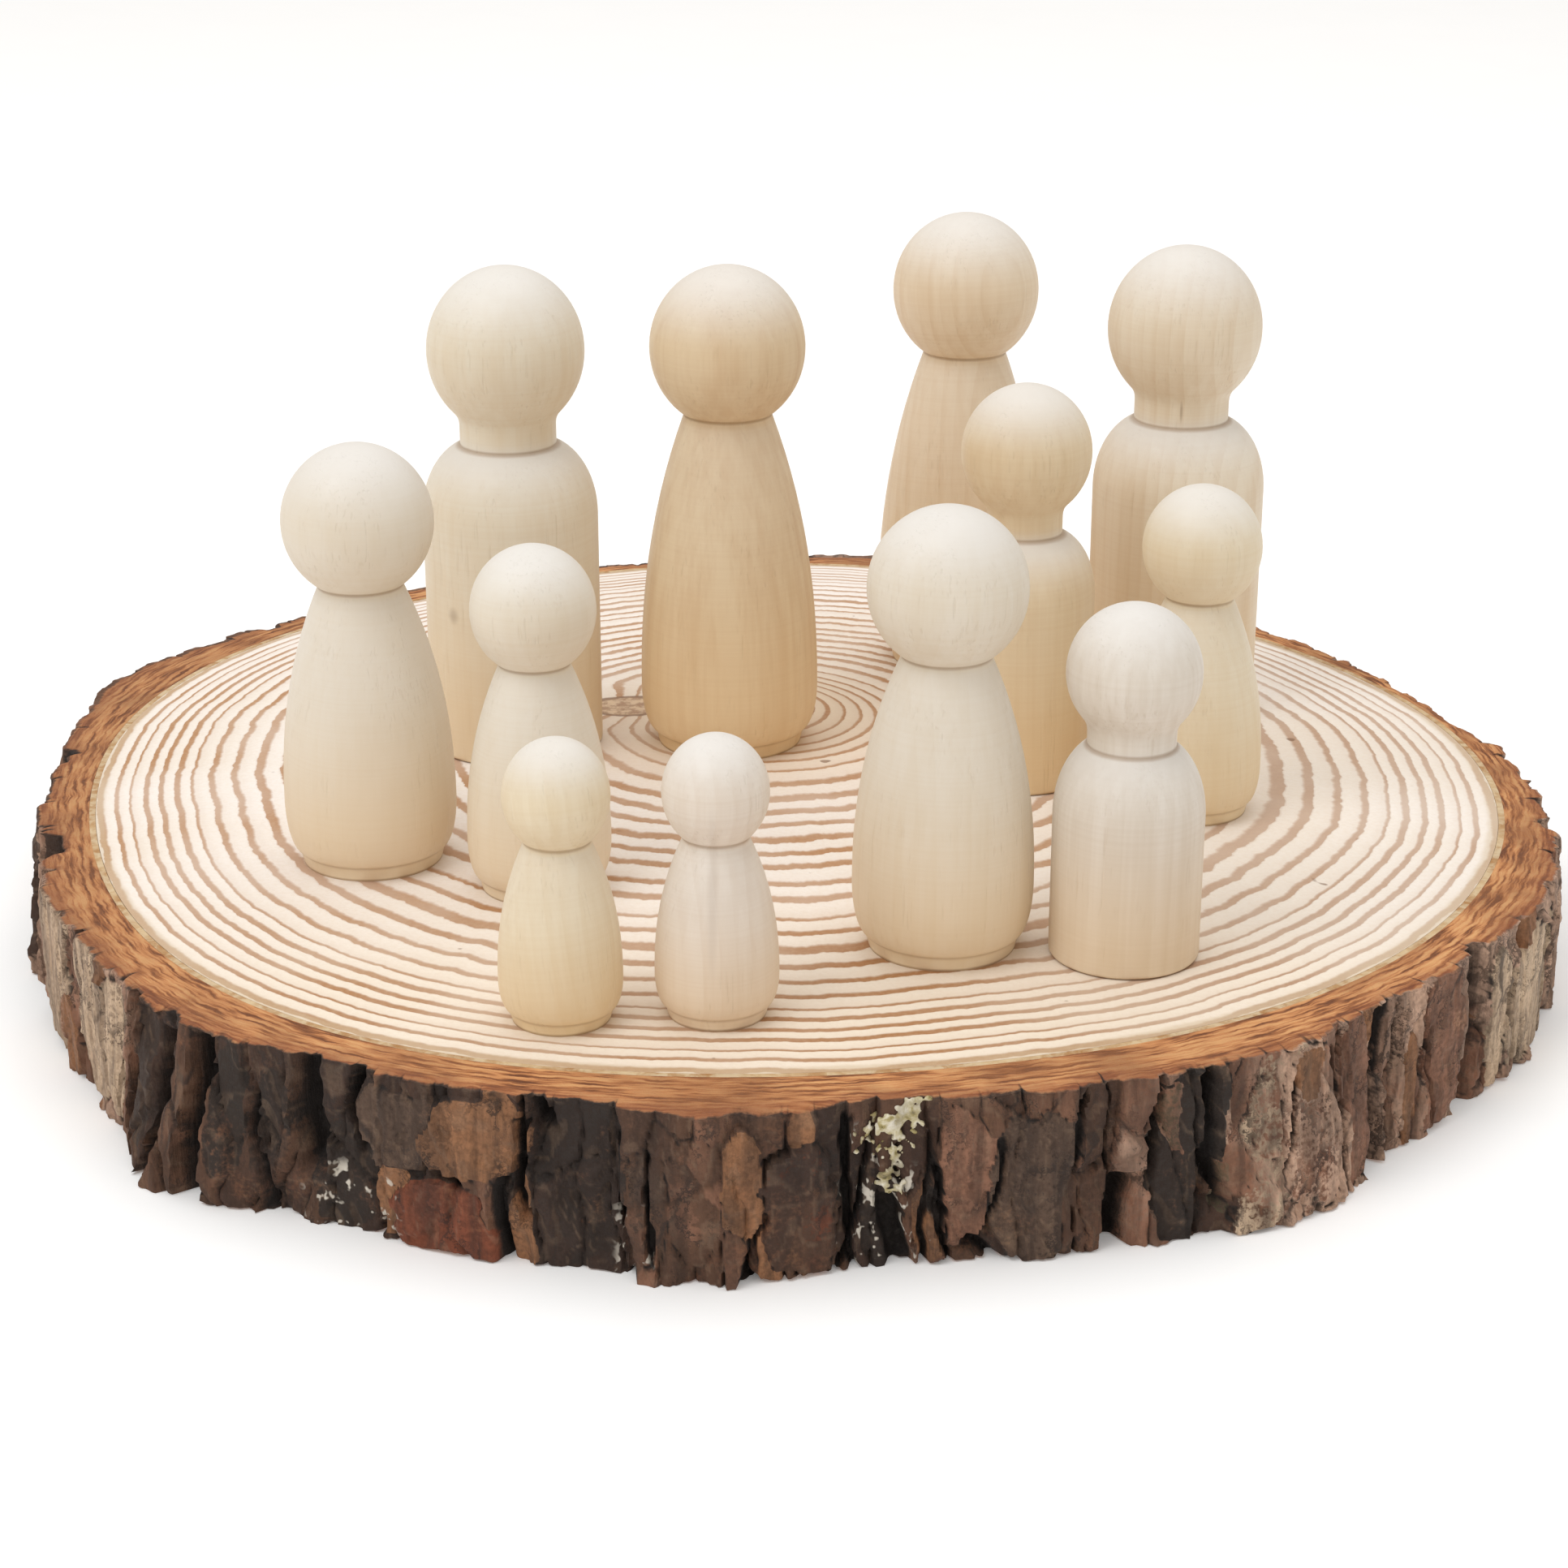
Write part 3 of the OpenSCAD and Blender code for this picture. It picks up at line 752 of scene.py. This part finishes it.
class PEG_OT_slice(bpy.types.Operator):
    """Saws the slice of wood, with rings that follow its edge"""

    bl_idname = "peg_set.saw_slice"
    bl_label = "Saw the slice"

    def execute(self, context):
        own = settings("slice")
        low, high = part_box("slice_wood")
        bevel = 0.05 * MM
        across = [i / 40 for i in range(41)]
        shape = bmesh.new()
        top = [(part, 0, 1.0) for part in across]
        side = [(1.0, 0, k / 6) for k in range(5, 0, -1)]
        line_of(shape, top + side + [(part, 0, 0.0) for part in reversed(across)])
        spin_full(shape, RIM_STEPS)
        made = new_piece("sawn_wood", shape, SLICE_BODY, slice_wood_material(), ["slice_wood"])
        unit = vertex_array(made.data)
        part = np.hypot(unit[:, 0], unit[:, 1])
        turn = np.arctan2(unit[:, 1], unit[:, 0]) / TURN
        edge = read_rim(rim("slice_wood", True), turn)
        level = unit[:, 2]
        inset = np.where((part > 0.999) & ((level > 0.999) | (level < 0.001)), bevel, 0)
        far = np.stack([(edge - inset) * np.cos(turn * TURN), (edge - inset) * np.sin(turn * TURN)], 1)
        heart = np.array(own.heart)
        flat = heart + (far - heart) * part[:, None]
        height = low.z + (high.z - low.z) * level
        place_vertices(made.data, np.column_stack([flat, height]))
        store(made.data, "ring", part)
        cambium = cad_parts["slice_inner_bark"]
        cambium.data.materials.clear()
        cambium.data.materials.append(inner_bark_material())
        return {"FINISHED"}


# ---- bark


def bark_material():
    """Pine bark: layered plates, fissures painted near-black as darker bark with painted shade, and the
    orange sawn edge on top and underneath.
    """
    own = settings("bark")
    made, n = new_material("slice_bark")
    spot = n.here()
    relief = n.group("fibre_relief", {"Vector": spot, "Scale": 420.0, "Squash": (1, 1, 0.13)})
    grit = relief["Grit"]
    jitter = n.times(n.minus(relief["Mottle"], 0.5), 0.9)
    fine_jitter = n.times(n.minus(grit, 0.5), 0.5)
    jitter = n.plus(jitter, fine_jitter)

    def where(name, low=0.48):
        return n.span(n.plus(n.mask(name), jitter), low, 1 - low)

    tone = n.plus(n.mask("tone"), n.times(jitter, 0.6))
    shades = [(0.0, "241A15"), (0.3, own.brown), (0.55, "60422F"), (0.78, own.pink), (1.0, "C6A38C")]
    colour = n.ramp(tone, shades)
    flakes = {"tan": own.tan, "pale": "D0B69A", "pink": own.pink, "grey": "5B4638", "brick": own.brick}
    for name, shade in flakes.items():
        colour = n.blend(where(name, 0.43), colour, shade)
    colour = n.blend(where("dark", 0.38), colour, "2A211B")

    # fine cracks, moss, worn edges, grit, streaks, specks, and near-black in the fissures: their darker bark
    # with painted shade
    nudge = n.times(n.plus(relief["Mottle"], grit), 3.5 * MM)
    cells_at = n.vector("ADD", n.stretch(spot, (1, 1, 0.5)), nudge)
    crackle = n.add("TexVoronoi", {"Vector": cells_at, "Scale": 300.0}, feature="DISTANCE_TO_EDGE")
    crackle = n.span(crackle.outputs["Distance"], 0.09, 0.01)
    crackle = n.times(crackle, n.span(relief["Mottle"], 0.4, 0.6))
    colour = n.tint(colour, crackle, 0.75, "1E1511")
    green = n.times(where("moss"), n.span(grit, 0.4, 0.6, 0.3, 1.0))
    colour = n.tint(colour, green, 0.6, "5B5A42")
    lift = n.span(n.mask("lift"), 0.2, 1.0)
    colour = n.tint(colour, lift, 0.22, "9A7F68")
    colour = n.tint(colour, n.span(grit, 0.35, 0.7), 0.35, "3B2E28")
    colour = n.tint(colour, n.span(relief["Fibres"], 0.38, 0.62), 0.55, "2A1C15")
    white = n.span(n.noise(spot, 520, 2, 0.6), 0.6, 0.66)
    colour = n.tint(colour, n.mask("specks"), white, "CFC8BC")
    # painted shade: near-black in the fissures, in the flakes' cracks and round the outlines of raised
    # flakes, over darker bark
    dark = n.span(n.plus(n.mask("gap"), n.times(fine_jitter, 0.6)), 0.25, 0.8)
    colour = n.tint(colour, dark, 0.96, "120D0B")

    # the sawn band: thin wavy layers of cork, orange near the wood and browner outwards
    flat = n.stretch(spot, (1, 1, 0))
    ripple = n.times(n.noise(flat, 230, 3, 0.6), 2.6)
    across = n.plus(n.times(n.mask("layer"), 1750.0), ripple)
    round_way = n.stretch(n.vector("NORMALIZE", flat), (15, 15, 0))
    lines = n.noise(n.vector("ADD", round_way, n.join(z=across)), 1.0, 2, 0.55)
    warm = n.ramp(lines, [(0.34, "6A3C20"), (0.43, "9C6238"), (0.52, own.cut), (0.64, "D8A26C")])
    warm = n.blend(n.span(n.noise(flat, 60, 3, 0.6), 0.4, 0.68, 0.0, 0.65), warm, "865431")
    rimward = n.mask("rimward")
    outward = n.span(n.plus(rimward, n.times(jitter, 0.25)), 0.55, 1.0)
    warm = n.tint(warm, outward, 0.55, "8A4E30")
    crust = n.span(n.plus(rimward, n.times(jitter, 0.16)), 0.93, 0.99)
    warm = n.blend(crust, warm, colour)
    left = n.span(n.parts_of(spot)[0], -60 * MM, -92 * MM, 0.0, 0.3)
    warm = n.blend(left, warm, "74482C")
    # painted shade in the fissures where they cross the sawn band
    warm = n.tint(warm, dark, 0.9, "1A110D")
    cut = n.span(n.mask("cut"), 0.45, 0.55)
    colour = n.blend(cut, colour, warm)

    rough = n.span(grit, 0.3, 0.7, 0.74, 0.92)
    height = n.plus(n.times(relief["Fibres"], 0.8), n.times(grit, 0.35))
    height = n.plus(height, n.times(n.times(lines, cut), 0.6))
    n.finish(colour, rough, height, 0.35 * MM)
    return made


def bark_surface(turn, up, thick):
    """How far the bark stands out from its mean outline at each point, in mm, and its colour masks."""
    own = settings("bark")
    round_mm = TURN * MEAN_RADIUS
    shift = swells(turn, up, 70, 9, 11) * 1.3 + swells(turn, up, 190, 4.5, 12) * 0.6
    shift = shift + swells(turn, up, 480, 2.2, 13) * 0.25
    slide = swells(turn, up, 90, 7, 14) * 1.6 + swells(turn, up, 260, 4, 15) * 0.6
    at, level = turn + shift / round_mm, up + slide

    # the plates
    gap, one, two, across = cells(at, level, own.plates, 34, 21)
    width = 0.05 + 0.13 * ease(swells(turn, up, 44, 14, 22), -0.2, 0.9)
    crack = 1 - ease(gap, width * 0.25, width)
    depth = own.fissure / MM * (0.75 + 0.6 * swells(turn, up, 36, 18, 23))
    crown = 1.0 - 3.2 * across**2
    stand = (one - 0.5) * 1.9 + across * (two - 0.5) * 2.4 + 0.3 * crown

    # smaller flakes on the plates, and the thin layers they break into
    gap_b, flake, flake_two, across_b = cells(at + 0.003, level + 3, int(own.plates * 2.5), 13, 31)
    crack_b = 1 - ease(gap_b, 0.02, 0.11)
    stand += (flake - 0.5) * 0.75 + across_b * (flake_two - 0.5) * 0.9

    layers = swells(at, level, 120, 6.5, 41) * 0.55 + swells(at, level, 300, 3.2, 42) * 0.3 + flake * 0.5
    steps = layers * 3.2
    within = steps - np.floor(steps)
    terrace = (np.floor(steps) + ease(within, 0.8, 1.0)) * own.flake_step / MM
    stand += terrace

    stand += swells(turn, up, 900, 5, 51) * 0.12 + swells(turn, up, 620, 1.6, 52) * 0.1
    degrees = off_from(turn, 0)
    right = ease(degrees, -66, -56) * (1 - ease(degrees, 0, 60))
    far_left = 1 - ease(degrees, -141, -136)
    front_left = ease(degrees, -138, -134) * (1 - ease(degrees, -103, -95))
    side_tone = 0.54 * right + 0.42 * far_left - 0.25 * front_left
    masks = {name: np.zeros_like(turn) for name in (*FLAKE_KINDS, "specks")}
    masks["tone"] = 0.25 * one + 0.45 * flake + 0.3 * two + 0.12 * terrace + side_tone
    masks["lift"] = ease(within, 0.55, 0.85) * (1 - ease(within, 0.9, 1.0))
    masks["tan"] = 0.85 * (flake_two > 0.92) * ease(gap_b, 0.05, 0.2)
    masks["brick"] = 0.3 * (flake_two < 0.05) * ease(gap_b, 0.05, 0.2)
    top_calm = 1 - 0.6 * ease(up, thick - 5, thick)
    dig = (crack * depth + crack_b * 0.45 * (1 - crack)) * top_calm
    stand *= 1 - 0.45 * ease(up, thick - 4, thick)
    # painted shade: near-black deep in the fissures and in the flakes' cracks
    gap_shade = np.maximum(crack * ease(depth, 0.2, 1.6), crack_b * 0.55)

    # the flakes that stand alone, with ragged outlines
    ragged = swells(turn, up, 230, 2.6, 61) * 0.5 + swells(turn, up, 600, 1.2, 62) * 0.3
    drift = swells(turn, up, 110, 6, 63)
    calm, outline = np.zeros_like(turn), np.zeros_like(turn)
    for kind, direction, half, middle, tall, proud, strength in FLAKES:
        sunk = kind in ("moss", "dark")
        along = off_from(turn, direction) / half + ragged * 0.35 + drift * 0.25
        rise = (up - middle) / tall + ragged * 0.25 - drift * 0.2
        inside = 1 - ease(np.abs(along) ** 3 + np.abs(rise) ** 3, 0.85, 1.05)
        outline = np.maximum(outline * (1 - inside), 4 * inside * (1 - inside) * (not sunk))
        for name in FLAKE_KINDS:
            masks[name] = masks[name] * (1 - inside)
        masks[kind] = np.maximum(masks[kind], inside * strength)
        flat = 0.1 if sunk else 0.85
        calm = np.maximum(calm, inside * flat)
        stand = stand * (1 - 0.8 * flat * inside) + proud * inside
    dig = dig * (1 - calm * 0.9) + outline * 0.35
    # painted shadow round the outlines of flakes that stand out
    gap_shade = np.maximum(gap_shade * (1 - calm * 0.9), outline * 0.75)

    for direction, wide, deep, lean, start, stop in FISSURES:
        place = np.full_like(turn, direction / 360 + 0.5)
        wander = swells(place, up, 40, 5, int(direction * 10) % 997) * 0.9
        slant = math.degrees(math.tan(math.radians(lean)) / MEAN_RADIUS)
        line = direction + slant * (up - 10) + wander * 0.55
        along = np.abs(off_from(turn, line)) / 360 * round_mm
        reach = ease(up, start - 1, start + 2.5) * (1 - ease(up, stop - 2.5, stop + 0.5))
        inside = (1 - ease(along + ragged * 0.5, wide * 0.32, wide * 0.62)) * reach
        dig = np.maximum(dig, inside * deep)
        # painted shade in each deep fissure
        gap_shade = np.maximum(gap_shade, inside)

    for direction, half, high_z in SPECK_PATCHES:
        off = np.abs(off_from(turn, direction)) / half
        patch = (1 - ease(off, 0.6, 1.2)) * (1 - ease(up, high_z - 2, high_z))
        masks["specks"] = np.maximum(masks["specks"], patch)
    # the painted shade in the gaps, kept as the gap mask
    masks["gap"] = np.clip(gap_shade, 0, 1)
    return stand - dig, masks


class PEG_OT_bark(bpy.types.Operator):
    """Builds the bark, with plates, flakes and fissures, and its sawn orange edge"""

    bl_idname = "peg_set.grow_bark"
    bl_label = "Grow the bark"

    def execute(self, context):
        low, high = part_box("slice_outer_bark")
        thick = high.z - low.z
        across = [1, 1.14, 1.3, 1.46, 1.62, 1.76, 1.87, 1.95]
        outline = [(a, 0, 1.0) for a in across]
        outline += [(2.0, 0, 1 - k / BARK_ROWS) for k in range(BARK_ROWS + 1)]
        outline += [(a, 0, 0.0) for a in (1.8, 1.4, 1)] + [(1, 0, 0.5)]
        shape = bmesh.new()
        line_of(shape, outline)
        shape.verts.ensure_lookup_table()
        shape.edges.new((shape.verts[-1], shape.verts[0]))
        spin_full(shape, BARK_STEPS)
        node = "slice_outer_bark"
        made = new_piece("bark_ring", shape, SLICE_BODY, bark_material(), [node])
        unit = vertex_array(made.data)
        part = np.clip(np.hypot(unit[:, 0], unit[:, 1]) - 1, 0, 1)
        turn = np.arctan2(unit[:, 1], unit[:, 0]) / TURN % 1.0
        level = np.clip(unit[:, 2], 0, 1)
        inner = read_rim(rim(node, False), turn)

        # the CAD's outline, smoothed over 9 steps each way
        steps = np.arange(RIM_STEPS) / RIM_STEPS
        raw = read_rim(rim(node, True), steps)
        mean = np.mean([np.roll(raw, k) for k in range(-9, 10)], 0)
        outer = np.interp(turn, steps, mean, period=1.0)
        stand, masks = bark_surface(turn, level * thick / MM, thick / MM)

        # the foot of the bark flares where a root swelling starts, and the top edge is worn
        for direction, half, out in ROOT_SWELLINGS:
            off = off_from(turn, direction)
            stand = stand + out * np.exp(-((off / half) ** 2)) * (1 - ease(level, 0.0, 0.9))
        face = np.maximum(outer + stand * MM, inner + 1.2 * MM)
        away = inner + (face - inner) * part
        height = low.z + thick * level
        still = np.zeros_like(level)
        chip = swells(turn, still, 330, 10, 71) + swells(turn, still, 90, 10, 72)
        worn = np.clip(0.25 + 0.3 * chip, 0.05, 1) * MM * ease(part, 0.9, 1.0)
        height = np.where((level > 0.999) & (part > 0.9), height - worn, height)
        height = np.where((level < 0.001) & (part > 0.9), height + worn * 0.8, height)
        points = np.column_stack([away * np.cos(turn * TURN), away * np.sin(turn * TURN), height])
        place_vertices(made.data, points)
        on_top = level > 0.999
        masks["gap"] = np.where(on_top, masks["gap"] * ease(part, 0.55, 1.0), masks["gap"])
        for name, values in masks.items():
            store(made.data, name, values)
        flat_face = ((level > 0.999) | (level < 0.001)).astype(float)
        store(made.data, "cut", np.where(part > 0.99, 0.5, flat_face))
        behind = np.exp(-((off_from(turn, 100) / 45) ** 2))
        store(made.data, "rimward", part + 0.5 * behind * part)
        store(made.data, "layer", away - inner)
        made.data.set_sharp_from_angle(angle=math.radians(55))
        return {"FINISHED"}


def lichen_material():
    """Crusty lichen, whitish with yellow-green hollows."""
    made, n = new_material("bark_lichen")
    spot = n.here()
    relief = n.group("fibre_relief", {"Vector": spot, "Scale": 700.0, "Squash": (1, 1, 1)})
    shades = [(0.3, "5E5530"), (0.4, "A89A66"), (0.52, "CFC5A4"), (0.66, "EDE7D8")]
    colour = n.ramp(relief["Fibres"], shades)
    colour = n.blend(n.span(relief["Mottle"], 0.5, 0.75, 0, 0.8), colour, "8E8577")
    rough = n.span(relief["Grit"], 0.3, 0.7, 0.8, 0.95)
    n.finish(colour, rough, relief["Fibres"], 0.3 * MM)
    return made


class PEG_OT_lichen(bpy.types.Operator):
    """Adds the crusty patch of lichen on the front of the bark"""

    bl_idname = "peg_set.add_lichen"
    bl_label = "Add the lichen"

    def execute(self, context):
        draw = np.random.default_rng(5)
        bark = bpy.data.objects["bark_ring"]
        points = vertex_array(bark.data)
        way = np.degrees(np.arctan2(points[:, 1], points[:, 0]))
        away = np.hypot(points[:, 0], points[:, 1])
        shape = bmesh.new()
        for direction, level in LICHEN_TRAIL:
            for _ in range(14):
                a = direction + draw.normal(0, 0.36)
                z = min(level + draw.normal(0, 0.7), 19.7) * MM
                close = np.abs(way - a) + np.abs(points[:, 2] - z) * 400 - away * 30
                reach = away[np.argmin(close)]
                size = draw.uniform(0.16, 0.36) * MM
                made = bmesh.ops.create_icosphere(shape, subdivisions=2, radius=size)
                spun = math.radians(a)
                for vert in made["verts"]:
                    lumps = math.sin(vert.co.x * 9000 + a * 7) * math.sin(vert.co.z * 8000 + z * 900)
                    vert.co *= (1 + 0.28 * lumps) * draw.uniform(0.85, 1.15)
                    vert.co.x += (reach + 0.1 * MM) * math.cos(spun)
                    vert.co.y += (reach + 0.1 * MM) * math.sin(spun)
                    vert.co.z += z
        made = new_piece("lichen_patch", shape, SLICE_BODY, lichen_material())
        fuse = made.modifiers.new("fuse", "REMESH")
        fuse.mode = "VOXEL"
        fuse.voxel_size = 0.22 * MM
        fuse.use_smooth_shade = True
        return {"FINISHED"}


# ---- stage


class PEG_OT_stage(bpy.types.Operator):
    """Sets the pale floor, the soft lights and the camera"""

    bl_idname = "peg_set.set_stage"
    bl_label = "Set the stage"

    def execute(self, context):
        own = settings("stage")
        scene = context.scene
        scene.view_settings.view_transform = "Standard"
        world = bpy.data.worlds.new("studio")
        world.use_nodes = True
        n = Nodes(world.node_tree)
        up = n.parts_of(n.add("TexCoord").outputs["Generated"])[2]
        glow = n.blend(n.span(up, 0.0, 0.75), "C9B699", "FFFFFF")
        seen = n.add("LightPath").outputs["Is Camera Ray"]
        backdrop = n.blend(seen, glow, "FFFFFF")
        n.fill_in(n.tree.nodes["Background"], {"Color": backdrop, "Strength": own.fill})
        scene.world = world

        shape = bmesh.new()
        bmesh.ops.create_grid(shape, x_segments=8, y_segments=8, size=4)
        made, n = new_material("studio_floor")
        grain = n.noise(n.here(), 40, 3)
        colour = n.blend(grain, "FCFCFC", "F8F8F8")
        shader = n.finish(colour, n.span(grain, 0, 1, 0.8, 0.9), grain, 0.01 * MM)
        shader.inputs["Emission Color"].default_value = paint("FFFFFF")
        shader.inputs["Emission Strength"].default_value = 0.1
        new_mesh("studio_floor", shape, made)

        for name, place, size, power in (
            ("key_light", (-0.55, -0.45, 1.0), 0.7, own.key),
            ("top_light", (0.1, 0.25, 1.2), 0.9, own.key * 0.6),
        ):
            lamp = bpy.data.lights.new(name, "AREA")
            lamp.shape = "DISK"
            lamp.size = size
            lamp.energy = power
            holder = new_object(name, lamp)
            holder.location = place
            aim = -holder.location
            holder.rotation_euler = aim.to_track_quat("-Z", "Y").to_euler()

        view = bpy.data.cameras.new("camera")
        view.sensor_width = 36
        view.lens = own.lens
        view.clip_start = 0.01
        holder = new_object("camera", view)
        holder.location = own.camera
        holder.rotation_euler = (own.tilt, 0, 0)
        scene.camera = holder
        return {"FINISHED"}


class PEG_PT_panel(bpy.types.Panel):
    """Lists the steps that build the set, and their settings"""

    bl_idname = "PEG_PT_panel"
    bl_label = "Peg set"
    bl_space_type = "VIEW_3D"
    bl_region_type = "UI"
    bl_category = "Peg set"

    def draw(self, context):
        for step in STEPS:
            self.layout.operator(step.bl_idname)
        for group in GROUPS:
            box = self.layout.box()
            box.label(text=group.capitalize())
            for name in GROUPS[group].__annotations__:
                box.prop(settings(group), name)


GROUPS = {"wood": PEG_PG_wood, "slice": PEG_PG_slice, "bark": PEG_PG_bark, "stage": PEG_PG_stage}
STEPS = (PEG_OT_turn, PEG_OT_slice, PEG_OT_bark, PEG_OT_lichen, PEG_OT_stage)


def register():
    for made in (*GROUPS.values(), *STEPS, PEG_PT_panel):
        bpy.utils.register_class(made)
    for name, made in GROUPS.items():
        setattr(bpy.types.Scene, "peg_set_" + name, PointerProperty(type=made))


def unregister():
    for name in GROUPS:
        delattr(bpy.types.Scene, "peg_set_" + name)
    for made in (PEG_PT_panel, *reversed(STEPS), *reversed(list(GROUPS.values()))):
        bpy.utils.unregister_class(made)


def main():
    """Builds everything in order."""
    register()
    make_turned_grain()
    make_fibre_relief()
    bpy.ops.peg_set.turn_pegs()
    bpy.ops.peg_set.saw_slice()
    bpy.ops.peg_set.grow_bark()
    bpy.ops.peg_set.add_lichen()
    bpy.ops.peg_set.set_stage()


if __name__ == "__main__":
    main()
